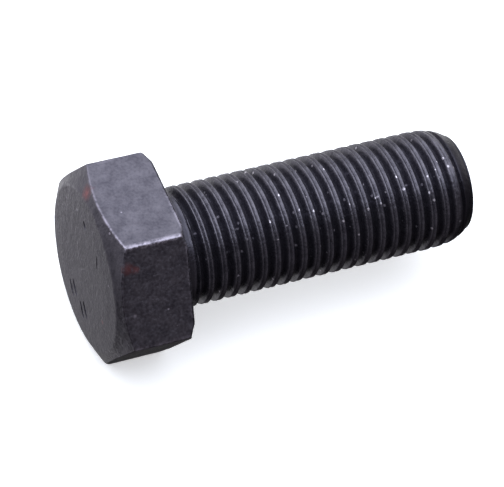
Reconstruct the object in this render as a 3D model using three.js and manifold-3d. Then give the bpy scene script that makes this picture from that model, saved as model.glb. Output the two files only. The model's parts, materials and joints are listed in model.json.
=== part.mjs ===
// Hexagon head bolt, metric coarse thread M30, threaded up to the head.
//
// A bolt of this kind is one piece of steel: the head is upset from the bar and the thread is
// rolled on the same bar, so the whole object is a single closed solid.
//
// Frame: millimetres. The bolt's axis is the X axis. X = 0 is the outer end of the head, the
// thread runs towards +X, and the hexagon has flats facing +Z and -Z and corners on +Y and -Y.

import * as THREE from 'three';
import { mergeVertices } from 'three/addons/utils/BufferGeometryUtils.js';
import Module from 'manifold-3d';

const wasm = await Module();
wasm.setup();

// ---- Driving dimensions, in millimetres and degrees ----

const threadDiameter = 30; // nominal size of the thread
const threadPitch = 3.5; // coarse pitch for this size
const flankAngle = 30; // each thread flank leans this far from square to the axis
const crestDrop = 0.25; // the rolled crest stays this much under the nominal diameter
const threadStartAngle = 0; // from +Y towards +Z, where the crest would meet the bearing face
const shankLength = 80; // from the bearing face to the thread's end

const acrossFlats = 46; // spanner size
const headHeight = 18.7;
const cornerRadius = 0.7; // rounding of the hexagon's six long edges
const topCircleInset = 2.3; // the circle on the head's outer end stays this far inside the flats
const topChamferAngle = 30; // slope of the chamfer outside that circle
const underCornerTrim = 1.4; // the bearing face stops this far inside the six corners
const underCornerAngle = 40; // slope that takes the corners off outside the bearing face

const filletRadius = 1.2; // where the shank leaves the head
const neckDrop = 2.2; // the plain neck is this much under the nominal diameter
const neckLength = 5; // from the bearing face to the start of the run-out
const runOutLength = 1.5; // length over which the thread dies out into the neck
const pointLength = 9; // rounded lead-in at the thread's end
const pointDrop = 8.4; // the flat circle at the thread's end is this much under the nominal diameter

// ---- Resolution ----

const threadSegments = 36; // steps in one turn of the thread and round the shank
const headSegments = 72; // steps round the cones that trim the head
const arcSteps = 4; // steps in a rounding

// ---- Values that follow from the dimensions above ----

const { degToRad } = THREE.MathUtils;
const crestRadius = (threadDiameter - crestDrop) / 2;
const crestFlat = threadPitch / 8;
const rootFlat = threadPitch / 4;
const flankRun = (threadPitch - crestFlat - rootFlat) / 2;
const rootRadius = crestRadius - flankRun / Math.tan(degToRad(flankAngle));
const neckRadius = (threadDiameter - neckDrop) / 2;
const pointRadius = (threadDiameter - pointDrop) / 2;
const topCircleRadius = acrossFlats / 2 - topCircleInset;
const cornerArcCentre = (acrossFlats / 2 - cornerRadius) / Math.cos(degToRad(30));
const cornerReach = cornerArcCentre + cornerRadius; // from the axis to a corner
const bearingRadius = cornerReach - underCornerTrim;
const boltLength = headHeight + shankLength;
const clear = 1; // how far a trimming shape stands outside what it leaves alone

/** Turns a closed three.js geometry into a solid that can be joined and cut. */
function toSolid(geometry) {
  const bare = geometry.clone();
  bare.deleteAttribute('normal');
  bare.deleteAttribute('uv');
  const welded = mergeVertices(bare, 1e-4);
  return new wasm.Manifold(new wasm.Mesh({
    numProp: 3,
    vertProperties: new Float32Array(welded.attributes.position.array),
    triVerts: new Uint32Array(welded.index.array),
  }));
}

/** Turns a solid back into a three.js geometry. */
function toGeometry(solid) {
  const mesh = solid.getMesh();
  const geometry = new THREE.BufferGeometry();
  geometry.setAttribute('position', new THREE.BufferAttribute(mesh.vertProperties, 3));
  geometry.setIndex(new THREE.BufferAttribute(mesh.triVerts, 1));
  geometry.computeVertexNormals();
  return geometry;
}

/** Solid of revolution about the X axis, from pairs of distance along X and radius. */
function turned(outline, segments) {
  const points = outline.map(([along, radius]) => new THREE.Vector2(radius, along));
  const geometry = new THREE.LatheGeometry(points, segments);
  geometry.rotateZ(-Math.PI / 2); // the lathe's axis, +Y, becomes +X
  return toSolid(geometry);
}

/** Points of an elliptical arc in an outline, with its centre, its half axes and its angles. */
function arc([centreX, centreRadius], [halfX, halfRadius], fromAngle, toAngle) {
  const ellipse = new THREE.EllipseCurve(
    centreX,
    centreRadius,
    halfX,
    halfRadius,
    degToRad(fromAngle),
    degToRad(toAngle),
    toAngle < fromAngle,
  );
  return ellipse.getPoints(arcSteps).map((point) => [point.x, point.y]);
}

/** Hexagon prism with its six long edges rounded, from X = 0 to the head's height. */
function hexagonPrism() {
  const sector = Math.PI / 3;
  const outline = new THREE.Shape();
  for (let corner = 0; corner < 6; corner += 1) {
    const angle = corner * sector;
    const centreX = cornerArcCentre * Math.cos(angle);
    const centreY = cornerArcCentre * Math.sin(angle);
    outline.absarc(centreX, centreY, cornerRadius, angle - sector / 2, angle + sector / 2);
  }
  const prism = new THREE.ExtrudeGeometry(outline, {
    depth: headHeight,
    bevelEnabled: false,
    curveSegments: arcSteps,
  });
  prism.rotateZ(Math.PI / 2); // corners from X to Y
  prism.rotateY(Math.PI / 2); // length from Z to X
  return toSolid(prism);
}

/** The head: the hexagon, chamfered at its outer end and at its corners underneath. */
function head() {
  const reach = cornerReach + clear;
  const topRise = (reach - topCircleRadius) * Math.tan(degToRad(topChamferAngle));
  const cornerFall = (reach - bearingRadius) * Math.tan(degToRad(underCornerAngle));
  const envelope = turned([
    [0, 0],
    [0, topCircleRadius],
    [topRise, reach],
    [headHeight - cornerFall, reach],
    [headHeight, bearingRadius],
    [headHeight, 0],
  ], headSegments);
  return hexagonPrism().intersect(envelope);
}

/**
 * Threaded rod about the X axis. The middle of its crest is at startX on the +Y side, and it
 * climbs from there as a right-hand thread. One pitch of the profile is wound round the axis
 * as a sheared grid, so that crests and roots are true helices, and each end is closed by a
 * fan of triangles from a point on the axis.
 */
function threadedRod(startX, turns) {
  const profile = [
    [-crestFlat / 2, crestRadius],
    [crestFlat / 2, crestRadius],
    [crestFlat / 2 + flankRun, rootRadius],
    [crestFlat / 2 + flankRun + rootFlat, rootRadius],
  ];
  const rowsPerTurn = profile.length;
  const lastRow = rowsPerTurn * turns;
  const positions = [];
  for (let column = 0; column < threadSegments; column += 1) {
    const turn = column / threadSegments;
    const angle = 2 * Math.PI * turn;
    for (let row = 0; row <= lastRow; row += 1) {
      const [along, radius] = profile[row % rowsPerTurn];
      const x = startX + threadPitch * (Math.floor(row / rowsPerTurn) + turn) + along;
      positions.push(x, radius * Math.cos(angle), radius * Math.sin(angle));
    }
  }
  const startCentre = positions.length / 3;
  positions.push(startX, 0, 0);
  const endCentre = startCentre + 1;
  positions.push(startX + threadPitch * turns, 0, 0);

  // Going once round the axis leads back to the first column, one turn further along.
  const vertex = (column, row) => (column < threadSegments
    ? column * (lastRow + 1) + row
    : row + rowsPerTurn);

  const indices = [];
  for (let column = 0; column < threadSegments; column += 1) {
    const rowCount = column < threadSegments - 1 ? lastRow : lastRow - rowsPerTurn;
    for (let row = 0; row < rowCount; row += 1) {
      const corner = vertex(column, row);
      const across = vertex(column + 1, row + 1);
      indices.push(corner, vertex(column + 1, row), across);
      indices.push(corner, across, vertex(column, row + 1));
    }
  }

  const startLoop = [];
  const endLoop = [];
  for (let column = 0; column < threadSegments; column += 1) {
    startLoop.push(vertex(column, 0));
    endLoop.push(vertex(column, lastRow));
  }
  for (let step = 0; step < rowsPerTurn; step += 1) {
    startLoop.push(vertex(0, rowsPerTurn - step));
    endLoop.push(vertex(threadSegments - 1, lastRow - 1 - step));
  }
  startLoop.forEach((from, place) => {
    indices.push(startCentre, startLoop[(place + 1) % startLoop.length], from);
  });
  endLoop.forEach((from, place) => {
    indices.push(endCentre, from, endLoop[(place + 1) % endLoop.length]);
  });

  const geometry = new THREE.BufferGeometry();
  geometry.setAttribute('position', new THREE.Float32BufferAttribute(positions, 3));
  geometry.setIndex(indices);
  return toSolid(geometry);
}

/** The shank: neck, run-out, full thread and rounded point, from inside the head outwards. */
function shank() {
  const inside = headHeight - clear; // buried in the head, so that the two join
  const neckEnd = headHeight + neckLength;
  const runOutEnd = neckEnd + runOutLength;
  const pointStart = boltLength - pointLength;
  const outside = crestRadius + clear;
  const filletOuter = neckRadius + filletRadius;
  const envelope = turned([
    [inside, 0],
    [inside, neckRadius],
    [neckEnd, neckRadius],
    [runOutEnd, outside],
    [pointStart, outside],
    ...arc([pointStart, pointRadius], [pointLength, crestRadius - pointRadius], 90, 0),
    [boltLength, 0],
  ], threadSegments);
  const core = turned([
    [inside, 0],
    [inside, filletOuter],
    ...arc([headHeight + filletRadius, filletOuter], [filletRadius, filletRadius], 180, 270),
    [neckEnd, neckRadius],
    [runOutEnd, rootRadius],
    [runOutEnd, 0],
  ], threadSegments);
  const startX = headHeight - threadPitch * (2 + threadStartAngle / 360);
  const turns = Math.ceil(shankLength / threadPitch) + 4;
  return threadedRod(startX, turns).intersect(envelope).add(core);
}

const steel = new THREE.MeshStandardMaterial({
  color: '#3a373d',
  roughness: 0.5,
  metalness: 0.9,
});
steel.name = 'black_oxide_steel';

const bolt = new THREE.Mesh(toGeometry(head().add(shank())), steel);
bolt.name = 'hex_bolt';

const part = new THREE.Group();
part.add(bolt);

export default part;
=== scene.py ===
"""Looks of a hexagon head bolt in black oxide steel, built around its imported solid.

The bolt lies along +X with its head at the origin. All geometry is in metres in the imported
part's own frame; the dataclass fields are in millimetres and degrees, as a drawing gives them.
"""

import json
import logging
import math
from dataclasses import dataclass
from enum import Enum

import bpy
import numpy as np
from mathutils import Matrix, Vector

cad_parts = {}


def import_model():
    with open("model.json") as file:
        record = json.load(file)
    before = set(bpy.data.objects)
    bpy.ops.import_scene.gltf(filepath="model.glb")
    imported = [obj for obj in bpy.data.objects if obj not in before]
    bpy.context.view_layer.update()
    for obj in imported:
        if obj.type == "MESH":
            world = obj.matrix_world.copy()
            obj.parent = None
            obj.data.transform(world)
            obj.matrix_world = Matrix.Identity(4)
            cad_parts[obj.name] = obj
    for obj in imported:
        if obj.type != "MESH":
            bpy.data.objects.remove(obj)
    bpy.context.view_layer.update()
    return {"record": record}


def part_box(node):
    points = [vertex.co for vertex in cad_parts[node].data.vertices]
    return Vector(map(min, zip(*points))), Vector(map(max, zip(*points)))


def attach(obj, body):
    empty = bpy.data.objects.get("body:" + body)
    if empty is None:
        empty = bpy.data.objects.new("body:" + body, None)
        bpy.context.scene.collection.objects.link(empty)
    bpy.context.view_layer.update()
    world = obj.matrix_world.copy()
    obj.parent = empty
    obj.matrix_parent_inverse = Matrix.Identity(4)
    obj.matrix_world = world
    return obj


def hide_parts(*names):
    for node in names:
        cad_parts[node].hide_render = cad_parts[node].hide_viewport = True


LOG = logging.getLogger("hex_bolt")
MM = 0.001
COS_30 = math.cos(math.pi / 6)
NODE = "hex_bolt"
BODY = "root"
WELD = 1e-6  # points closer than this, in metres, become one
HAIR = 1e-7  # points closer than this to a plane or axis, in metres, lie on it


class Skin(Enum):
    """Which stretch of the bolt's surface a face belongs to; the value is its material index."""

    FORGED = 0
    ROLLED = 1


# ---- small helpers -----------------------------------------------------------------------


def srgb(code: str, alpha: float = 1.0) -> tuple[float, float, float, float]:
    """Turns an sRGB hex colour into linear light.

    Args:
        code: the colour as six hex digits, with or without a leading #.
        alpha: the fourth channel, left as it is.

    Returns:
        Red, green, blue and alpha, linear.
    """
    digits = code.lstrip("#")
    channels = [int(digits[i : i + 2], 16) / 255 for i in (0, 2, 4)]
    linear = [c / 12.92 if c <= 0.04045 else ((c + 0.055) / 1.055) ** 2.4 for c in channels]
    return linear[0], linear[1], linear[2], alpha


def per_metre(size_mm: float) -> float:
    """Texture scale, in repeats per metre, of a pattern whose features measure size_mm."""
    return 1 / (size_mm * MM)


def soft_min(a: np.ndarray, b: np.ndarray, blend: float) -> np.ndarray:
    """Smaller of two profiles, with a rounding of width blend where they cross."""
    share = np.clip(0.5 + 0.5 * (b - a) / blend, 0, 1)
    return b + (a - b) * share - blend * share * (1 - share)


def soft_max(a: np.ndarray, b: np.ndarray, blend: float) -> np.ndarray:
    """Larger of two profiles, with a rounding of width blend where they cross."""
    return -soft_min(-a, -b, blend)


def smooth_step(value: np.ndarray, low: float, high: float) -> np.ndarray:
    """Eased share, 0 below low and 1 above high."""
    share = np.clip((value - low) / (high - low), 0, 1)
    return share * share * (3 - 2 * share)


def deselect_all() -> None:
    """Leaves nothing selected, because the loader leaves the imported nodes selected."""
    if bpy.context.object and bpy.context.object.mode != "OBJECT":
        bpy.ops.object.mode_set(mode="OBJECT")
    bpy.ops.object.select_all(action="DESELECT")


def make_active(obj: bpy.types.Object) -> None:
    """Selects one object alone and makes it the active one."""
    deselect_all()
    obj.select_set(True)
    bpy.context.view_layer.objects.active = obj


def read_points(mesh: bpy.types.Mesh) -> np.ndarray:
    """Vertex positions of a mesh as rows of x, y, z."""
    flat = np.empty(len(mesh.vertices) * 3, np.float32)
    mesh.vertices.foreach_get("co", flat)
    return flat.reshape(-1, 3).astype(float)


def write_points(mesh: bpy.types.Mesh, points: np.ndarray) -> None:
    """Puts moved vertex positions back into a mesh."""
    mesh.vertices.foreach_set("co", points.astype(np.float32).ravel())
    mesh.update()


def draw_outline(name: str, outline: list[tuple[float, float]]) -> bpy.types.Object:
    """Draws an open outline in the XZ plane by extruding a single vertex from point to point.

    Args:
        name: the new object's name.
        outline: pairs of distance along X and distance from the axis, in metres.

    Returns:
        The object, whose vertices carry their place in the outline in the attribute "row".
    """
    deselect_all()
    bpy.ops.mesh.primitive_plane_add(size=MM, location=(0, 0, 0))
    obj = bpy.context.object
    obj.name = name
    obj.data.name = name
    bpy.ops.object.mode_set(mode="EDIT")
    bpy.ops.mesh.select_all(action="SELECT")
    bpy.ops.mesh.merge(type="CENTER")
    start = Vector((outline[0][0], 0, outline[0][1]))
    bpy.ops.transform.translate(value=start)
    here = start
    for along, radius in outline[1:]:
        there = Vector((along, 0, radius))
        bpy.ops.mesh.extrude_region_move(TRANSFORM_OT_translate={"value": there - here})
        here = there
    bpy.ops.object.mode_set(mode="OBJECT")
    rows = obj.data.attributes.new("row", "INT", "POINT")
    rows.data.foreach_set("value", np.arange(len(obj.data.vertices), dtype=np.int32))
    return obj


def apply_modifier(obj: bpy.types.Object, kind: str, **settings: object) -> None:
    """Adds a modifier, sets it up and applies it.

    Args:
        obj: the object to work on.
        kind: Blender's name for the modifier type.
        **settings: the modifier's properties and their values.
    """
    make_active(obj)
    bpy.ops.object.modifier_add(type=kind)
    modifier = obj.modifiers[-1]
    for key, value in settings.items():
        setattr(modifier, key, value)
    bpy.ops.object.modifier_apply(modifier=modifier.name)


def recalculate_normals(obj: bpy.types.Object) -> None:
    """Merges doubles and turns every face outwards."""
    make_active(obj)
    bpy.ops.object.mode_set(mode="EDIT")
    bpy.ops.mesh.select_all(action="SELECT")
    bpy.ops.mesh.remove_doubles(threshold=WELD)
    bpy.ops.mesh.normals_make_consistent(inside=False)
    bpy.ops.object.mode_set(mode="OBJECT")


def roughen(obj: bpy.types.Object, height: float, size: float) -> None:
    """Makes a surface slightly uneven, as steel is after forging or rolling.

    Args:
        obj: the object, in metres.
        height: how far the unevenness reaches from its lowest to its highest, in millimetres.
        size: how wide its waves are, in millimetres.
    """
    waves = bpy.data.textures.new(obj.name + "_waves", "CLOUDS")
    waves.noise_scale = size * MM
    waves.noise_depth = 2
    apply_modifier(
        obj,
        "DISPLACE",
        texture=waves,
        texture_coords="LOCAL",
        strength=height * MM,
        mid_level=0.5,
    )
    bpy.data.textures.remove(waves)


def add_node(
    tree: bpy.types.NodeTree,
    kind: str,
    inputs: dict[str | int, object] | None = None,
    **settings: object,
) -> bpy.types.Node:
    """Adds one shader node.

    Args:
        tree: the node tree.
        kind: the node's type name, without the leading ShaderNode.
        inputs: what goes into each socket: another node's output socket, or a value.
        **settings: the node's own properties.

    Returns:
        The new node.
    """
    node = tree.nodes.new("ShaderNode" + kind)
    for key, value in settings.items():
        setattr(node, key, value)
    for key, value in (inputs or {}).items():
        socket = node.inputs[key]
        if isinstance(value, bpy.types.NodeSocket):
            tree.links.new(value, socket)
        else:
            socket.default_value = value
    return node


# ---- finishes ----------------------------------------------------------------------------


@dataclass(frozen=True)
class Spot:
    """One small round patch on the surface: its place and its radius, in millimetres."""

    along: float
    across: float
    up: float
    radius: float


@dataclass(frozen=True)
class BlackOxide:
    """Hot black oxide on carbon steel: a thin magnetite layer, oiled, worn on what rubs.

    The layer gives the eye a half-matt blue-black metal with faint clouds and a fine grain.
    Edges that rub against other bolts lose it and show lilac-grey steel, and the thread's crests
    are lightened towards it too, partly as a painted highlight. A darker colour stands for oil
    and painted shade: oil and painted shade in the grooves, painted shade on the neck under the
    head and on the head's outer end, and a darker lead-in. Small specks of the bare-steel colour
    are nicks on the head and painted glints on the thread. The real grain is
    a few hundredths of a millimetre wide, so it is drawn coarser, to show at all.

    Fields whose names end in _mm are the sizes of a pattern's features. A range is the part
    of a pattern's values that is spread over 0 to 1. Specks, both nicks and painted glints, sit
    in cells speck_cells times as wide as they are, and speck_edge and spot_fade give where a
    speck, as a share of its cell, and a spot, as a share of its radius, start to show and where
    they show in full.
    """

    name: str
    body: str
    cloud: str
    # Colour of oil and painted shade.
    oil_and_painted_shade: str
    # Colour of bare steel, also used for painted glints and a painted highlight on the crests.
    worn_and_highlight: str
    roughness: float
    roughness_swing: float
    oil: float
    oil_roughness: float
    cloud_mm: float
    grain_mm: float
    grain_height_mm: float
    pit_mm: float
    pit_height_mm: float
    speck_mm: float
    speck_share: float
    metal: float
    rust: str = "#85565a"
    rust_spots: tuple[Spot, ...] = ()
    chips: tuple[Spot, ...] = ()
    cloud_detail: float = 5.0
    grain_detail: float = 3.0
    pit_detail: float = 4.0
    mottle_range: tuple[float, float] = (0.7, 1.3)
    patch_range: tuple[float, float] = (0.85, 1.15)
    grain_range: tuple[float, float] = (0.3, 0.7)
    even_wear: float = 0.25
    speck_cells: float = 4.0
    speck_edge: tuple[float, float] = (0.21, 0.13)
    spot_fade: tuple[float, float] = (1.7, 0.3)

    def build(self) -> bpy.types.Material:
        """Builds the material.

        Returns:
            A node material that reads Object coordinates and the attributes of wear,
            which is partly a painted highlight on the crests, of oil and painted shade, and of
            nicks and painted glints.
        """
        material = bpy.data.materials.new(self.name)
        material.use_nodes = True
        tree = material.node_tree
        tree.nodes.clear()
        place = add_node(tree, "TexCoord").outputs["Object"]
        cloud = self._noise(tree, place, self.cloud_mm, self.cloud_detail)
        grain = self._noise(tree, place, self.grain_mm, self.grain_detail)
        pits = self._noise(tree, place, self.pit_mm, self.pit_detail)
        both = add_node(tree, "Math", {0: cloud, 1: grain}, operation="ADD").outputs[0]
        mottle = self._stretch(tree, both, *self.mottle_range)
        body = add_node(
            tree,
            "Mix",
            {"Factor": mottle, 6: srgb(self.body), 7: srgb(self.cloud)},
            data_type="RGBA",
        ).outputs[2]
        # Oil and painted shade: the darker colour is mixed in where this attribute is set.
        oil_and_painted_shade = add_node(tree, "Attribute", attribute_name="oil_and_painted_shade").outputs["Fac"]
        shaded = add_node(
            tree, "Mix", {"Factor": oil_and_painted_shade, 6: body, 7: srgb(self.oil_and_painted_shade)}, data_type="RGBA"
        ).outputs[2]
        rusted = self._add_spots(tree, place, shaded, grain, self.rust_spots, self.rust)
        chipped = self._add_spots(tree, place, rusted, grain, self.chips, self.worn_and_highlight)
        # Bare-steel colour: real wear and nicks, with a painted highlight on the crests and
        # painted glints on the thread.
        bare_and_highlight = self._bare_steel_and_highlights(tree, place, grain, cloud, oil_and_painted_shade)
        finished = add_node(
            tree, "Mix", {"Factor": bare_and_highlight, 6: chipped, 7: srgb(self.worn_and_highlight)}, data_type="RGBA"
        ).outputs[2]
        rough = add_node(
            tree,
            "MapRange",
            {
                "Value": grain,
                "From Min": self.grain_range[0],
                "From Max": self.grain_range[1],
                "To Min": self.roughness - self.roughness_swing,
                "To Max": self.roughness + self.roughness_swing,
            },
        ).outputs["Result"]
        shader = add_node(
            tree,
            "BsdfPrincipled",
            {
                "Base Color": finished,
                "Metallic": self.metal,
                "Roughness": rough,
                "Normal": self._relief(tree, grain, pits),
                "Coat Weight": self.oil,
                "Coat Roughness": self.oil_roughness,
            },
        )
        add_node(tree, "OutputMaterial", {"Surface": shader.outputs["BSDF"]})
        return material

    @staticmethod
    def _noise(
        tree: bpy.types.NodeTree, place: bpy.types.NodeSocket, size_mm: float, detail: float
    ) -> bpy.types.NodeSocket:
        """Fractal noise whose largest features measure size_mm."""
        inputs = {"Vector": place, "Scale": per_metre(size_mm), "Detail": detail}
        return add_node(tree, "TexNoise", inputs).outputs["Fac"]

    @staticmethod
    def _stretch(
        tree: bpy.types.NodeTree, value: bpy.types.NodeSocket, low: float, high: float
    ) -> bpy.types.NodeSocket:
        """Spreads the range from low, which gives 0, to high, which gives 1."""
        inputs = {"Value": value, "From Min": low, "From Max": high}
        return add_node(tree, "MapRange", inputs).outputs["Result"]

    def _bare_steel_and_highlights(
        self,
        tree: bpy.types.NodeTree,
        place: bpy.types.NodeSocket,
        grain: bpy.types.NodeSocket,
        cloud: bpy.types.NodeSocket,
        oil_and_painted_shade: bpy.types.NodeSocket,
    ) -> bpy.types.NodeSocket:
        """Works out where the bare-steel colour shows: patchy wear on edges, with a painted
        highlight on the crests, and specks in what is proud: nicks on the head, painted glints
        on the thread.

        Args:
            tree: the node tree.
            place: Object coordinates.
            grain: the fine noise.
            cloud: the coarse noise.
            oil_and_painted_shade: the share of oil and painted shade, which hides specks.

        Returns:
            The share of the bare-steel colour: wear, nicks, painted glints and the painted
            highlight on the crests, 0 to 1.
        """
        # The wear attribute: real wear, and on the thread's crests partly a painted highlight.
        wear = add_node(tree, "Attribute", attribute_name="wear").outputs["Fac"]
        mixed = add_node(tree, "Math", {0: grain, 1: cloud}, operation="ADD").outputs[0]
        patchy = self._stretch(tree, mixed, *self.patch_range)
        rubbed_and_highlit = add_node(
            tree,
            "Math",
            {0: patchy, 1: 1 - self.even_wear, 2: self.even_wear},
            operation="MULTIPLY_ADD",
        ).outputs[0]
        worn_and_highlight = add_node(tree, "Math", {0: wear, 1: rubbed_and_highlit}, operation="MULTIPLY").outputs[0]
        cell_scale = per_metre(self.speck_mm * self.speck_cells)
        cells = add_node(tree, "TexVoronoi", {"Vector": place, "Scale": cell_scale})
        near = self._stretch(tree, cells.outputs["Distance"], *self.speck_edge)
        lot = add_node(tree, "SeparateColor", {"Color": cells.outputs["Color"]}).outputs["Red"]
        # Specks: nicks on the head, and on the thread painted glints along one line.
        nicks_and_glints = add_node(tree, "Attribute", attribute_name="nicks_and_glints").outputs["Fac"]
        chance = add_node(
            tree, "Math", {0: nicks_and_glints, 1: self.speck_share}, operation="MULTIPLY"
        ).outputs[0]
        chosen = add_node(tree, "Math", {0: lot, 1: chance}, operation="LESS_THAN").outputs[0]
        proud = add_node(tree, "Math", {0: 1.0, 1: oil_and_painted_shade}, operation="SUBTRACT").outputs[0]
        dots = add_node(tree, "Math", {0: near, 1: chosen}, operation="MULTIPLY").outputs[0]
        specks = add_node(tree, "Math", {0: dots, 1: proud}, operation="MULTIPLY").outputs[0]
        return add_node(
            tree, "Math", {0: worn_and_highlight, 1: specks}, operation="MAXIMUM", use_clamp=True
        ).outputs[0]

    def _add_spots(
        self,
        tree: bpy.types.NodeTree,
        place: bpy.types.NodeSocket,
        colour: bpy.types.NodeSocket,
        grain: bpy.types.NodeSocket,
        spots: tuple[Spot, ...],
        tint: str,
    ) -> bpy.types.NodeSocket:
        """Tints small patches, such as rust where damp got under the oil, or chips.

        Args:
            tree: the node tree.
            place: Object coordinates.
            colour: the colour without the spots.
            grain: the grain that frays each spot.
            spots: where the patches are.
            tint: the spots' sRGB hex colour.

        Returns:
            The colour with the spots.
        """
        for spot in spots:
            centre = (spot.along * MM, spot.across * MM, spot.up * MM)
            away = add_node(tree, "VectorMath", {0: place, 1: centre}, operation="DISTANCE")
            frayed = add_node(
                tree,
                "Math",
                {0: grain, 1: spot.radius * MM, 2: away.outputs["Value"]},
                operation="MULTIPLY_ADD",
            ).outputs[0]
            rim, middle = (share * spot.radius * MM for share in self.spot_fade)
            share = self._stretch(tree, frayed, rim, middle)
            colour = add_node(
                tree, "Mix", {"Factor": share, 6: colour, 7: srgb(tint)}, data_type="RGBA"
            ).outputs[2]
        return colour

    def _relief(
        self, tree: bpy.types.NodeTree, grain: bpy.types.NodeSocket, pits: bpy.types.NodeSocket
    ) -> bpy.types.NodeSocket:
        """Surface relief too fine for the mesh: shallow pits under a fine grain."""
        coarse = add_node(tree, "Bump", {"Height": pits, "Distance": self.pit_height_mm * MM})
        fine = add_node(
            tree,
            "Bump",
            {
                "Height": grain,
                "Distance": self.grain_height_mm * MM,
                "Normal": coarse.outputs["Normal"],
            },
        )
        return fine.outputs["Normal"]


# The head was forged hot before it was blackened, so it is cloudy and lightly pitted.
FORGED_FINISH = BlackOxide(
    name="black_oxide_forged_steel",
    body="#45434d",
    cloud="#67646e",
    oil_and_painted_shade="#2e2c34",
    worn_and_highlight="#a9a3b3",
    roughness=0.42,
    roughness_swing=0.13,
    oil=0.1,
    oil_roughness=0.3,
    cloud_mm=3.0,
    grain_mm=0.7,
    grain_height_mm=0.1,
    pit_mm=2.0,
    pit_height_mm=0.24,
    speck_mm=0.45,
    speck_share=0.012,
    metal=0.97,
    rust_spots=(
        Spot(along=1.2, across=6.2, up=21.2, radius=2.0),
        Spot(along=3.6, across=-15.9, up=18.5, radius=1.6),
        Spot(along=5.6, across=-16.2, up=17.9, radius=1.0),
        Spot(along=0.0, across=-14.2, up=-3.0, radius=0.6),
    ),
    chips=(
        Spot(along=4.16, across=-22.02, up=7.87, radius=0.5),
        Spot(along=0.0, across=17.32, up=7.47, radius=0.3),
        Spot(along=6.3, across=-2.8, up=23.0, radius=0.22),
        Spot(along=0.9, across=-21.2, up=0.9, radius=0.35),
    ),
)

# Rolling leaves the thread denser and smoother, so it is darker and glossier under its oil.
ROLLED_FINISH = BlackOxide(
    name="black_oxide_rolled_steel",
    body="#3e3c46",
    cloud="#4f4d58",
    oil_and_painted_shade="#2b2932",
    worn_and_highlight="#cdc8d4",
    roughness=0.34,
    roughness_swing=0.08,
    oil=0.12,
    oil_roughness=0.15,
    cloud_mm=2.5,
    grain_mm=0.45,
    grain_height_mm=0.05,
    pit_mm=1.1,
    pit_height_mm=0.13,
    speck_mm=0.5,
    speck_share=1.0,
    metal=0.86,
)


# ---- the bolt's two stretches ------------------------------------------------------------


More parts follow.
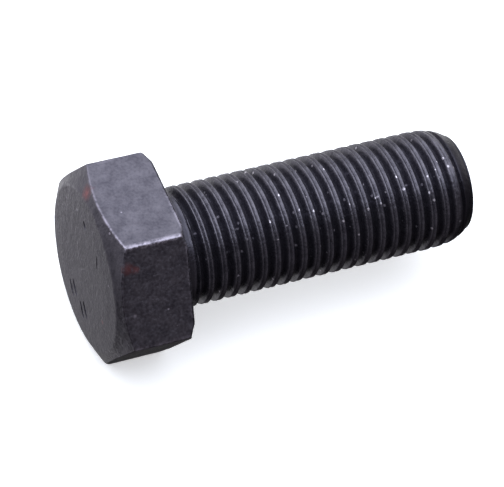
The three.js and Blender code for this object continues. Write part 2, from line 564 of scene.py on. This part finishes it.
@dataclass
class HexHead:
    """The upset hexagon head, chamfered on its outer end and at its corners underneath.

    Lengths are in millimetres and angles in degrees. The end face is level inside the level
    circle, falls a little to the top circle, and the chamfer starts there. Fields that end in
    _round are the radii of the roundings, and those that end in _fade give the distance from
    an edge where its wear starts to fade and where it ends. corner_wear counts the six long
    edges from +Y towards +Z, and flat_wear the six flats between them. A painted shade darkens
    the outer end: it ends the given depth behind the end face, and it deepens towards -Y over
    the given reach.
    """

    height: float
    across_flats: float
    corner_radius: float = 0.7
    level_circle: float = 30.0
    top_circle: float = 41.4
    top_fall: float = 0.3
    top_chamfer: float = 28.0
    under_corner_trim: float = 1.4
    under_corner_angle: float = 40.0
    level_round: float = 11.0
    circle_round: float = 2.0
    chamfer_round: float = 0.5
    under_round: float = 1.1
    knocked_corner: float = 240.0
    knock_round: float = 1.3
    knock_spread: float = 7.0
    seat_gap: float = 0.02
    corner_columns: int = 10
    side_columns: int = 38
    arc_rows: int = 4
    corner_wear: tuple[float, ...] = (0.2, 0.15, 1.0, 0.4, 0.25, 0.3)
    flat_wear: tuple[float, ...] = (0.6, 1.0, 0.3, 0.5, 0.6, 0.6)
    top_edge_wear: float = 0.85
    under_edge_wear: float = 0.5
    side_fade: tuple[float, float] = (0.05, 0.5)
    long_edge_fade: tuple[float, float] = (0.2, 0.65)
    top_edge_fade: tuple[float, float] = (0.1, 0.55)
    under_edge_fade: tuple[float, float] = (0.3, 0.8)
    # Painted shade on the head's outer end, darker towards -Y.
    painted_shade_depth: tuple[float, float] = (0.5, 4.0)
    painted_shade_reach: tuple[float, float] = (-18.0, 24.0)
    painted_shade_base: float = 0.2
    painted_shade_gain: float = 0.4
    unevenness: float = 0.12
    unevenness_size: float = 6.0

    @property
    def corner_reach(self) -> float:
        """Distance from the axis to a corner."""
        return (self.across_flats / 2 - self.corner_radius) / COS_30 + self.corner_radius

    def chamfer_rise(self, radius: np.ndarray) -> np.ndarray:
        """Distance along X from the end face's level to the chamfer's outer edge."""
        slope = math.tan(math.radians(self.top_chamfer))
        return self.top_fall + (radius - self.top_circle / 2) * slope

    def outline(self, radius: np.ndarray, angle: np.ndarray) -> np.ndarray:
        """Cuts the head along its axis where the hexagon has a given radius.

        Args:
            radius: the hexagon's local radius for each column, in millimetres.
            angle: each column's direction from +Y towards +Z, in radians.

        Returns:
            Points as [column, row, (along, radius)], from the end face's centre to the
            bearing face's centre, with each corner rounded.
        """
        top = self.top_circle / 2
        zero = np.zeros_like(radius)
        rise = self.chamfer_rise(radius)
        away = np.degrees(angle) - self.knocked_corner
        knock = self.knock_round * np.exp(-((away / self.knock_spread) ** 2))
        seat = np.minimum(self.corner_reach - self.under_corner_trim, radius - self.seat_gap)
        fall = (radius - seat) * math.tan(math.radians(self.under_corner_angle))
        under = zero + self.under_round
        # Each corner's place along X, its radius, its rounding, and the rows that lead to it.
        corners = [
            (zero, zero, zero, 0),
            (zero, zero + self.level_circle / 2, zero + self.level_round, 20),
            (zero + self.top_fall, zero + top, zero + self.circle_round, 8),
            (rise, radius, self.chamfer_round + knock, 12),
            (self.height - fall, radius, under, 34),
            (zero + self.height, seat, np.minimum(under, radius - seat), 5),
            (zero + self.height, zero, zero, 16),
        ]
        places = [np.stack([along, out], -1) for along, out, _, _ in corners]
        points = [places[0]]
        for number in range(1, len(corners)):
            _, _, rounding, rows = corners[number]
            start = points[-1]
            end, arc = places[number], []
            if number < len(corners) - 1:
                before, here, after = places[number - 1 : number + 2]
                end, arc = self._fillet(before, here, after, rounding[:, None])
            for row in range(1, rows + 1):
                points.append(start + (end - start) * self._eased(row / rows))
            points.extend(arc)
        return np.stack(points, 1)

    @staticmethod
    def _eased(share: float) -> float:
        """Row spacing that is finer towards both ends of a straight stretch."""
        return 0.5 - 0.5 * math.cos(math.pi * share)

    def _fillet(
        self, before: np.ndarray, here: np.ndarray, after: np.ndarray, radius: np.ndarray
    ) -> tuple[np.ndarray, list[np.ndarray]]:
        """Rounds one corner of the outline.

        Args:
            before: the corner before it, one point for each column.
            here: the corner itself.
            after: the corner after it.
            radius: the rounding's radius for each column.

        Returns:
            Where the rounding starts, and the points that follow on it.
        """
        back = before - here
        back = back / np.linalg.norm(back, axis=-1, keepdims=True)
        ahead = after - here
        ahead = ahead / np.linalg.norm(ahead, axis=-1, keepdims=True)
        half = 0.5 * np.arccos(np.clip((back * ahead).sum(-1, keepdims=True), -1, 1))
        reach = radius / np.tan(half)
        start = here + back * reach
        end = here + ahead * reach
        middle = back + ahead
        middle = middle / np.linalg.norm(middle, axis=-1, keepdims=True)
        centre = here + middle * radius / np.sin(half)
        arc = []
        for step in range(1, self.arc_rows + 1):
            share = step / self.arc_rows
            chord = start * (1 - share) + end * share - centre
            arc.append(centre + chord / np.linalg.norm(chord, axis=-1, keepdims=True) * radius)
        return start, arc

    def column_angles(self) -> np.ndarray:
        """Angles of the mesh's columns from +Y towards +Z, closer together at the corners."""
        half_flat = self.across_flats / 2
        pull = (half_flat - self.corner_radius) / COS_30
        tangent = math.atan(pull * math.sin(math.pi / 6) / half_flat)
        corner_share = np.arange(self.corner_columns) / self.corner_columns
        corner = (math.pi / 6 - tangent) * (2 * corner_share - 1)
        offsets = np.linspace(-1, 1, self.side_columns + 1)[:-1] * math.tan(tangent)
        side = math.pi / 6 + np.arctan(offsets)
        sector = np.concatenate([corner, side])
        turns = np.arange(6) * math.pi / 3
        return (turns[:, None] + sector[None, :]).ravel()

    def from_corner(self, angle: np.ndarray) -> np.ndarray:
        """Angle between each direction and the hexagon's nearest corner, in radians."""
        return np.abs((angle + math.pi / 6) % (math.pi / 3) - math.pi / 6)

    def hexagon_radius(self, angle: np.ndarray) -> np.ndarray:
        """Radius of the rounded hexagon in each direction, in millimetres.

        Args:
            angle: directions from +Y towards +Z, in radians.

        Returns:
            The distance from the axis to the hexagon's side or rounded corner.
        """
        half_flat = self.across_flats / 2
        from_corner = self.from_corner(angle)
        pull = (half_flat - self.corner_radius) / COS_30
        flat = half_flat / np.cos(math.pi / 6 - from_corner)
        inside = np.clip(self.corner_radius**2 - (pull * np.sin(from_corner)) ** 2, 0, None)
        rounded = pull * np.cos(from_corner) + np.sqrt(inside)
        tangent = math.atan(pull * math.sin(math.pi / 6) / half_flat)
        return np.where(from_corner < math.pi / 6 - tangent, rounded, flat)

    def build(self) -> bpy.types.Object:
        """Spins a plain blank, then presses its side in to the six flats.

        Returns:
            The closed head.
        """
        angles = self.column_angles()
        blank = self.outline(np.array([self.across_flats / 2]), np.zeros(1))[0] * MM
        head = draw_outline("head", [tuple(point) for point in blank])
        bpy.ops.object.mode_set(mode="EDIT")
        bpy.ops.mesh.select_all(action="SELECT")
        bpy.ops.mesh.spin(
            steps=len(angles), angle=2 * math.pi, center=(0, 0, 0), axis=(1, 0, 0)
        )
        bpy.ops.object.mode_set(mode="OBJECT")
        self._press(head, angles)
        recalculate_normals(head)
        roughen(head, self.unevenness, self.unevenness_size)
        return head

    def _press(self, head: bpy.types.Object, angles: np.ndarray) -> None:
        """Moves each vertex of the spun blank to its column's own outline."""
        points = read_points(head.data)
        rows = np.empty(len(points), np.int32)
        head.data.attributes["row"].data.foreach_get("value", rows)
        turn = np.arctan2(points[:, 2], points[:, 1]) % (2 * math.pi)
        steps = len(angles)
        column = np.round(turn / (2 * math.pi) * steps).astype(int) % steps
        outlines = self.outline(self.hexagon_radius(angles), angles) * MM
        on_axis = np.hypot(points[:, 1], points[:, 2]) < HAIR
        column[on_axis] = 0
        along = outlines[column, rows, 0]
        radius = outlines[column, rows, 1]
        points[:, 0] = along
        points[:, 1] = radius * np.cos(angles[column])
        points[:, 2] = radius * np.sin(angles[column])
        write_points(head.data, points)

    def wear(self, points: np.ndarray) -> np.ndarray:
        """How bare each point of the head is, 0 to 1.

        Args:
            points: places in millimetres.

        Returns:
            The share of oxide rubbed off, which is largest on the long edges.
        """
        along = points[:, 0]
        radius = np.hypot(points[:, 1], points[:, 2])
        angle = np.arctan2(points[:, 2], points[:, 1]) % (2 * math.pi)
        local = self.hexagon_radius(angle)
        side = 1 - smooth_step(local - radius, *self.side_fade)
        sectors = angle / (math.pi / 3)
        corner_wear = np.array(self.corner_wear)
        corner = corner_wear[np.round(sectors).astype(int) % 6]
        flat = np.floor(sectors).astype(int) % 6
        way = sectors - flat
        between = corner_wear[flat] * (1 - way) + corner_wear[(flat + 1) % 6] * way
        from_long_edge = self.from_corner(angle) * radius
        long_edge = corner * side * (1 - smooth_step(from_long_edge, *self.long_edge_fade))
        from_rim = np.abs(along - self.chamfer_rise(local))
        rim = between * np.array(self.flat_wear)[flat]
        rim = rim * side * (1 - smooth_step(from_rim, *self.top_edge_fade))
        start, full = (self.height - depth for depth in reversed(self.under_edge_fade))
        under_edge = self.under_edge_wear * corner * side * smooth_step(along, start, full)
        return np.maximum(np.maximum(self.top_edge_wear * rim, under_edge), long_edge)

    def painted_shade(self, points: np.ndarray) -> np.ndarray:
        """How much painted shade darkens each point of the head, 0 to 1.

        Args:
            points: places in millimetres.

        Returns:
            The share of painted shade, which grows towards -Y over the end face and its chamfer.
        """
        outer_end = 1 - smooth_step(points[:, 0], *self.painted_shade_depth)
        gathered = smooth_step(-points[:, 1], *self.painted_shade_reach)
        return outer_end * (self.painted_shade_base + self.painted_shade_gain * gathered)


@dataclass
class RolledShank:
    """Neck and rolled thread, M30 coarse, with a rounded lead-in at its end.

    Rolling pushes steel up from both sides of each crest, so a crest is two low ridges with
    a seam between them. Lengths are in millimetres and angles in degrees. Places along X
    are measured from the head's outer end. Fields that end in _blend are the widths over which
    two surfaces round into each other. The glint line is the direction, from +Y towards +Z,
    along which bright specks are painted as glints where the overhead light's reflection ends
    on the thread, and the stray share is how many painted glints it has elsewhere.
    """

    bearing: float
    end: float
    diameter: float = 30.0
    pitch: float = 3.5
    flank_angle: float = 30.0
    crest_drop: float = 0.25
    crest_width: float = 1.35
    seam_width: float = 0.62
    seam_depth: float = 0.34
    start_angle: float = 0.0
    crest_blend: float = 0.18
    root_depth: float = 1.7
    root_blend: float = 0.7
    neck_drop: float = 2.2
    neck_length: float = 5.0
    run_out: float = 1.5
    fillet: float = 1.2
    point_length: float = 9.0
    point_drop: float = 8.4
    buried: float = 2.0
    clear: float = 1.0
    turn_steps: int = 96
    trim_blend: float = 0.3
    crest_fade: tuple[float, float] = (0.05, 0.75)
    # Painted glints: bright specks along the line where the overhead light's reflection ends.
    glint_line: float = 124.0
    glint_spread: float = 17.0
    stray_glints: float = 0.12
    # The lead-in is darker towards the end.
    darkened_point: float = 0.8
    darkened_end: float = 2.5
    unevenness: float = 0.14
    unevenness_size: float = 1.9

    @property
    def crest_radius(self) -> float:
        """Radius over the crests."""
        return (self.diameter - self.crest_drop) / 2

    @property
    def root_radius(self) -> float:
        """Radius at the bottom of the groove."""
        return self.crest_radius - self.root_depth

    @property
    def neck_radius(self) -> float:
        """Radius of the plain neck under the head."""
        return (self.diameter - self.neck_drop) / 2

    def profile(self) -> list[tuple[float, float]]:
        """One pitch of the rolled thread, from the middle of one root to the next.

        Returns:
            Pairs of distance along X and radius, in millimetres, crest in the middle.
        """
        half = self.pitch / 2
        lip = self.crest_width / 2
        # Stations lie closer together where the seam and the two roundings bend.
        on_crest = np.array([0.0, 0.22, 0.45, 0.68, 0.88, 1.02, 1.2, 1.45]) * lip
        in_groove = np.array([0.64, 0.74, 0.83, 0.92, 1.0]) * half
        one_side = np.concatenate([on_crest, in_groove])
        places = np.concatenate([-one_side[:0:-1], one_side])
        away = np.abs(places)
        flank = self.crest_radius - (away - lip) / math.tan(math.radians(self.flank_angle))
        seam = self.seam_depth * np.clip(1 - away / (self.seam_width * lip), 0, 1)
        radius = soft_min(flank, self.crest_radius - seam, self.crest_blend)
        radius = soft_max(radius, np.full_like(radius, self.root_radius), self.root_blend)
        return list(zip(places.tolist(), radius.tolist()))

    def build(self) -> bpy.types.Object:
        """Winds the thread's profile round the axis and trims it at both ends.

        Returns:
            The closed shank, which starts inside the head.
        """
        first = self.bearing - self.buried - 2 * self.pitch
        lead = math.floor((first - self.bearing) / self.pitch)
        # The screw starts on the +Z side, a quarter of a turn after +Y.
        offset = self.bearing + self.pitch * (lead - self.start_angle / 360 + 0.25)
        outline = [((x + offset) * MM, r * MM) for x, r in self.profile()]
        shank = draw_outline("shank", outline)
        turns = math.ceil((self.end - first) / self.pitch) + 3
        apply_modifier(
            shank,
            "SCREW",
            axis="X",
            angle=2 * math.pi,
            screw_offset=self.pitch * MM,
            iterations=turns,
            steps=self.turn_steps,
            render_steps=self.turn_steps,
            use_merge_vertices=True,
            merge_threshold=WELD,
        )
        recalculate_normals(shank)
        roughen(shank, self.unevenness, self.unevenness_size)
        self._cut(shank, self.bearing - self.buried, keep_above=True)
        self._cut(shank, self.end, keep_above=False)
        self._trim(shank)
        recalculate_normals(shank)
        return shank

    def _cut(self, shank: bpy.types.Object, along: float, keep_above: bool) -> None:
        """Saws the rod square to its axis and closes the cut.

        Args:
            shank: the rod.
            along: where to cut, in millimetres along X.
            keep_above: whether the side towards +X stays.
        """
        make_active(shank)
        bpy.ops.object.mode_set(mode="EDIT")
        bpy.ops.mesh.select_all(action="SELECT")
        bpy.ops.mesh.bisect(
            plane_co=(along * MM, 0, 0),
            plane_no=(1, 0, 0),
            use_fill=True,
            clear_inner=keep_above,
            clear_outer=not keep_above,
            threshold=HAIR,
        )
        bpy.ops.object.mode_set(mode="OBJECT")

    def envelope(self, along: np.ndarray) -> np.ndarray:
        """Largest radius at each place along X, in millimetres."""
        neck_end = self.bearing + self.neck_length
        clear = self.crest_radius + self.clear
        rise = np.interp(along, [neck_end, neck_end + self.run_out], [self.neck_radius, clear])
        point_start = self.end - self.point_length
        point_radius = (self.diameter - self.point_drop) / 2
        share = np.clip((along - point_start) / self.point_length, 0, 1)
        point = point_radius + (self.crest_radius - point_radius) * np.sqrt(1 - share**2)
        return np.minimum(rise, np.where(along < point_start, clear, point))

    def core(self, along: np.ndarray) -> np.ndarray:
        """Smallest radius at each place along X, in millimetres: fillet, neck and run-out."""
        neck_end = self.bearing + self.neck_length
        under = self.root_radius - self.clear
        body = np.interp(along, [neck_end, neck_end + self.run_out], [self.neck_radius, under])
        into = np.clip((along - self.bearing) / self.fillet, 0, 1)
        flare = self.neck_radius + self.fillet * (1 - np.sqrt(1 - (1 - into) ** 2))
        return np.maximum(body, np.where(into < 1, flare, 0))

    def _trim(self, shank: bpy.types.Object) -> None:
        """Draws crests down to the envelope and grooves up to the core, as rolling does."""
        points = read_points(shank.data)
        along = points[:, 0] / MM
        radius = np.hypot(points[:, 1], points[:, 2]) / MM
        direction = points[:, 1:] / MM / np.maximum(radius, 1e-6)[:, None]
        shaped = soft_min(radius, self.envelope(along), self.trim_blend)
        shaped = soft_max(shaped, self.core(along), self.trim_blend)
        points[:, 1:] = direction * shaped[:, None] * MM
        write_points(shank.data, points)

    def crest_share(self, points: np.ndarray) -> np.ndarray:
        """How close each point is to the top of the thread, 0 in the groove and 1 on top.

        Args:
            points: places in millimetres.

        Returns:
            The share, measured from the local envelope so that the point and neck count
            as tops too.
        """
        radius = np.hypot(points[:, 1], points[:, 2])
        top = np.minimum(self.envelope(points[:, 0]), self.crest_radius)
        return 1 - smooth_step(top - radius, *self.crest_fade)

    def glint_share(self, points: np.ndarray) -> np.ndarray:
        """How many painted glints each point of the shank gets, 0 to 1.

        Args:
            points: places in millimetres.

        Returns:
            The share, largest along the line where the overhead light's reflection ends on the
            thread.
        """
        angle = np.degrees(np.arctan2(points[:, 2], points[:, 1]))
        away = (angle - self.glint_line) / self.glint_spread
        return self.stray_glints + (1 - self.stray_glints) * np.exp(-(away**2))

    def point_share(self, points: np.ndarray) -> np.ndarray:
        """How far each point of the shank lies into the lead-in, which is darker towards the
        end, 0 to 1.
        """
        start = self.end - self.darkened_point * self.point_length
        return smooth_step(points[:, 0], start, self.end - self.darkened_end)


@dataclass(frozen=True)
class PunchMark:
    """One short blind dent in the end face: where it is, how it lies and how big it is."""

    across: float
    up: float
    turn: float
    length: float
    width: float
    depth: float

    def cut(self, bolt: bpy.types.Object) -> None:
        """Presses the dent into the bolt's end face with an egg-shaped punch."""
        deselect_all()
        bpy.ops.mesh.primitive_uv_sphere_add(segments=24, ring_count=16, radius=1)
        punch = bpy.context.object
        punch.scale = (self.depth * MM, self.length / 2 * MM, self.width / 2 * MM)
        punch.rotation_euler = (math.radians(self.turn), 0, 0)
        punch.location = (0, self.across * MM, self.up * MM)
        bpy.ops.object.transform_apply(location=True, rotation=True, scale=True)
        apply_modifier(bolt, "BOOLEAN", operation="DIFFERENCE", solver="EXACT", object=punch)
        bpy.data.objects.remove(punch)


@dataclass
class HexBolt:
    """The whole bolt: head and shank are one piece of steel.

    Lengths are in millimetres. rolled_margin is how far outside the crests a face may lie and
    still be the shank's, rolled_overlap is how far its finish reaches into the joint with the
    head, and its wear and its oil and painted shade start shank_start beyond the bearing face.
    The crest wear, partly a painted highlight, and the oil and painted shade in the grooves and
    the painted shade on the neck are shares of the finish's full wear and of its full oil and
    painted shade.
    """

    head: HexHead
    shank: RolledShank
    rolled_margin: float = 1.0
    rolled_overlap: float = 0.2
    shank_start: float = 0.3
    # Crest wear, partly a painted highlight on the thread's crests.
    crest_wear_and_highlight: float = 0.09
    # Darkening of the grooves: oil and painted shade.
    groove_oil_and_shade: float = 0.35
    # Painted shade on the neck, where the head shades it.
    neck_painted_shade: float = 0.6
    neck_margin: float = 0.5
    sharp_angle: float = 35.0
    marks: tuple[PunchMark, ...] = (
        PunchMark(across=3.0, up=-10.9, turn=39, length=4.6, width=1.1, depth=0.8),
        PunchMark(across=4.6, up=-12.9, turn=39, length=4.6, width=1.1, depth=0.8),
        PunchMark(across=-4.2, up=-10.9, turn=39, length=4.6, width=1.1, depth=0.8),
        PunchMark(across=-2.6, up=-12.9, turn=39, length=4.6, width=1.1, depth=0.8),
        PunchMark(across=2.6, up=13.6, turn=45, length=2.4, width=1.1, depth=0.5),
        PunchMark(across=-6.6, up=10.8, turn=75, length=4.0, width=0.7, depth=0.15),
    )

    def build(self) -> bpy.types.Object:
        """Models both stretches, makes them one solid and dresses it.

        Returns:
            The finished piece.
        """
        bolt = self.head.build()
        LOG.info("head: %d vertices", len(bolt.data.vertices))
        shank = self.shank.build()
        LOG.info("shank: %d vertices", len(shank.data.vertices))
        apply_modifier(bolt, "BOOLEAN", operation="UNION", solver="EXACT", object=shank)
        bpy.data.objects.remove(shank)
        for mark in self.marks:
            mark.cut(bolt)
        bolt.name = "black_bolt"
        bolt.data.name = "black_bolt"
        self._dress(bolt)
        make_active(bolt)
        bpy.ops.object.shade_smooth_by_angle(angle=math.radians(self.sharp_angle))
        return bolt

    def _dress(self, bolt: bpy.types.Object) -> None:
        """Gives the faces their finish and the vertices their wear, nicks and painted glints,
        and oil and painted shade.
        """
        self._lay_finishes(bolt.data)
        points = read_points(bolt.data) / MM
        along = points[:, 0]
        neck_end = self.head.height + self.shank.neck_length
        full_end = self.shank.end - self.shank.point_length / 2
        crest = self.shank.crest_share(points)
        # Crest wear, partly a painted highlight on the thread's crests.
        rubbed_and_highlit = self.crest_wear_and_highlight * crest * ((along > neck_end) & (along < full_end))
        # Grooves darkened with oil and painted shade; the lead-in is darker towards the end.
        oiled_and_shaded = np.maximum(self.groove_oil_and_shade * (1 - crest), self.shank.point_share(points))
        # Painted shade on the neck under the head.
        oiled_and_shaded = np.maximum(oiled_and_shaded, self.neck_painted_shade * (along < neck_end - self.neck_margin))
        on_shank = along > self.head.height + self.shank_start
        # Head: nicks all over; shank: painted glints along one line.
        nicks_and_glints = np.where(on_shank, self.shank.glint_share(points), 1.0)
        self._store(bolt.data, "wear", np.where(on_shank, rubbed_and_highlit, self.head.wear(points)))
        self._store(bolt.data, "nicks_and_glints", nicks_and_glints)
        # Shank: oil and painted shade. Head: painted shade, darker towards -Y on its outer end.
        self._store(bolt.data, "oil_and_painted_shade", np.where(on_shank, oiled_and_shaded, self.head.painted_shade(points)))

    def _lay_finishes(self, mesh: bpy.types.Mesh) -> None:
        """Gives the shank's faces the rolled finish and the head's the forged one."""
        mesh.materials.clear()
        mesh.materials.append(FORGED_FINISH.build())
        mesh.materials.append(ROLLED_FINISH.build())
        centres = np.empty(len(mesh.polygons) * 3, np.float32)
        mesh.polygons.foreach_get("center", centres)
        centres = centres.reshape(-1, 3) / MM
        reach = self.shank.crest_radius + self.rolled_margin
        inner = np.hypot(centres[:, 1], centres[:, 2]) < reach
        rolled = inner & (centres[:, 0] > self.head.height - self.rolled_overlap)
        skins = np.where(rolled, Skin.ROLLED.value, Skin.FORGED.value).astype(np.int32)
        mesh.polygons.foreach_set("material_index", skins)

    @staticmethod
    def _store(mesh: bpy.types.Mesh, name: str, values: np.ndarray) -> None:
        """Stores one number per vertex under a name that the finishes read."""
        attribute = mesh.attributes.new(name, "FLOAT", "POINT")
        attribute.data.foreach_set("value", values.astype(np.float32))


# ---- the studio --------------------------------------------------------------------------


@dataclass(frozen=True)
class SoftBox:
    """One rectangular studio light that faces the bolt.

    Distances are in millimetres; glow is its brightness as a multiple of white.
    """

    name: str
    at: tuple[float, float, float]
    aim: tuple[float, float, float]
    width: float
    height: float
    colour: str
    glow: float

    def build(self) -> None:
        """Hangs the light."""
        data = bpy.data.lights.new(self.name, "AREA")
        data.shape = "RECTANGLE"
        data.size = self.width * MM
        data.size_y = self.height * MM
        data.color = srgb(self.colour)[:3]
        data.energy = self.glow * math.pi * data.size * data.size_y
        light = bpy.data.objects.new(self.name, data)
        bpy.context.scene.collection.objects.link(light)
        position = Vector(self.at) * MM
        aim = Vector(self.aim) * MM - position
        turn = aim.to_track_quat("-Z", "Y").to_matrix().to_4x4()
        light.matrix_world = Matrix.Translation(position) @ turn
        light.visible_camera = False


@dataclass
class Studio:
    """Pale floor, soft light and the camera.

    Distances are in millimetres and angles in degrees. The room's light changes from one end
    of the direction room_axis to the other: each stop of room is the cosine of the angle to
    that direction and a linear colour. Around shade_axis, low down past the thread's end, the
    room is darker: shade_edge gives the cosines between which the shade closes in, and
    shade_light what it leaves.
    """

    floor_height: float
    floor_size: float = 8000.0
    floor_colour: str = "#f0f0f2"
    floor_roughness: float = 0.8
    floor_glow: float = 0.45
    camera_at: tuple[float, float, float] = (-196.43, -390.34, 556.23)
    looks_at: tuple[float, float, float] = (43.99, -1.66, -3.45)
    roll: float = 12.27
    lens: float = 210.2
    sensor: float = 36.0
    near_clip: float = 10.0
    shade_axis: tuple[float, float, float] = (0.5, 0.0, -0.866)
    shade_edge: tuple[float, float] = (0.6, 0.9)
    shade_light: float = 0.15
    room_axis: tuple[float, float, float] = (-0.12, 1.0, 0.1)
    room: tuple[tuple[float, tuple[float, float, float]], ...] = (
        (-1.0, (0.25, 0.23, 0.24)),
        (-0.4, (0.09, 0.08, 0.085)),
        (-0.04, (0.07, 0.06, 0.065)),
        (0.15, (0.95, 0.94, 0.96)),
        (0.4, (0.64, 0.63, 0.65)),
        (0.5, (0.33, 0.32, 0.34)),
        (0.63, (1.4, 1.4, 1.44)),
        (0.9, (0.66, 0.66, 0.68)),
    )
    boxes: tuple[SoftBox, ...] = (
        SoftBox("overhead", (50, 620, 900), (50, 620, 0), 2600, 2700, "#ecf5ff", 1.3),
        SoftBox("front", (50, -300, 890), (50, -300, 0), 2600, 900, "#f4f8ff", 0.85),
        SoftBox("side", (1500, -100, 500), (50, 0, 0), 900, 900, "#fffdf8", 0.35),
    )

    def build(self) -> None:
        """Makes the floor, the lights and the camera."""
        self._floor()
        self._world()
        for box in self.boxes:
            box.build()
        self._camera()

    def _floor(self) -> None:
        """Lays a large sheet of matt white paper under the head's lowest flat.

        A faint glow keeps the paper close to white where the bolt shades it. The paper is
        left out of the metal's reflections, so that the thread's lower side stays dark.
        """
        deselect_all()
        height = self.floor_height * MM
        bpy.ops.mesh.primitive_plane_add(size=self.floor_size * MM, location=(0, 0, height))
        floor = bpy.context.object
        floor.name = "floor"
        material = bpy.data.materials.new("matt_white_paper")
        material.use_nodes = True
        tree = material.node_tree
        tree.nodes.clear()
        shader = add_node(
            tree,
            "BsdfPrincipled",
            {
                "Base Color": srgb(self.floor_colour),
                "Roughness": self.floor_roughness,
                "Emission Color": srgb("#ffffff"),
                "Emission Strength": self.floor_glow,
            },
        )
        add_node(tree, "OutputMaterial", {"Surface": shader.outputs["BSDF"]})
        floor.data.materials.append(material)
        floor.visible_glossy = False
        floor.visible_diffuse = False

    def _world(self) -> None:
        """Fill light of a room that is bright behind the bolt and dim in front of it."""
        world = bpy.data.worlds.new("studio")
        bpy.context.scene.world = world
        world.use_nodes = True
        tree = world.node_tree
        tree.nodes.clear()
        direction = add_node(tree, "TexCoord").outputs["Generated"]
        axis = tuple(Vector(self.room_axis).normalized())
        facing = add_node(
            tree, "VectorMath", {0: direction, 1: axis}, operation="DOT_PRODUCT"
        ).outputs["Value"]
        share = add_node(
            tree, "MapRange", {"Value": facing, "From Min": -1.0, "From Max": 1.0}
        ).outputs["Result"]
        ramp = add_node(tree, "ValToRGB", {"Fac": share})
        steps = ramp.color_ramp.elements
        steps[0].color = (*self.room[0][1], 1.0)
        steps[1].position = (1 + self.room[-1][0]) / 2
        steps[1].color = (*self.room[-1][1], 1.0)
        for place, colour in self.room[1:-1]:
            steps.new((1 + place) / 2).color = (*colour, 1.0)
        below = add_node(
            tree, "VectorMath", {0: direction, 1: self.shade_axis}, operation="DOT_PRODUCT"
        ).outputs["Value"]
        shade = add_node(
            tree,
            "MapRange",
            {
                "Value": below,
                "From Min": self.shade_edge[0],
                "From Max": self.shade_edge[1],
                "To Min": 1.0,
                "To Max": self.shade_light,
            },
            interpolation_type="SMOOTHSTEP",
        ).outputs["Result"]
        light = add_node(
            tree,
            "Mix",
            {"Factor": 1.0, 6: ramp.outputs["Color"], 7: shade},
            data_type="RGBA",
            blend_type="MULTIPLY",
        ).outputs[2]
        background = add_node(tree, "Background", {"Color": light, "Strength": 1.0})
        add_node(tree, "OutputWorld", {"Surface": background.outputs["Background"]})

    def _camera(self) -> None:
        """A long lens that looks down on the head's end from the -X, -Y side."""
        data = bpy.data.cameras.new("camera")
        camera = bpy.data.objects.new("camera", data)
        bpy.context.scene.collection.objects.link(camera)
        position = Vector(self.camera_at) * MM
        aim = Vector(self.looks_at) * MM - position
        turn = aim.to_track_quat("-Z", "Y").to_matrix()
        tilt = Matrix.Rotation(math.radians(self.roll), 3, "Z")
        camera.matrix_world = Matrix.Translation(position) @ (turn @ tilt).to_4x4()
        data.lens = self.lens
        data.sensor_width = self.sensor
        data.clip_start = self.near_clip * MM
        bpy.context.scene.camera = camera


def main() -> None:
    """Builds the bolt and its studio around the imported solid."""
    logging.basicConfig(level=logging.INFO, format="%(name)s: %(message)s")
    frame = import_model()
    low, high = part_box(NODE)
    mounts = {mount["name"]: mount for mount in frame["record"]["mounts"]}
    bearing = mounts["bearing_face"]["pos_m"][0] / MM
    head = HexHead(height=bearing, across_flats=(high.z - low.z) / MM)
    shank = RolledShank(bearing=bearing, end=high.x / MM)
    bolt = HexBolt(head, shank).build()
    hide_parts(NODE)
    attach(bolt, BODY)
    LOG.info("%s: %d faces", bolt.name, len(bolt.data.polygons))
    Studio(floor_height=low.z / MM).build()
    bpy.context.scene.view_settings.view_transform = "Standard"


if __name__ == "__main__":
    main()
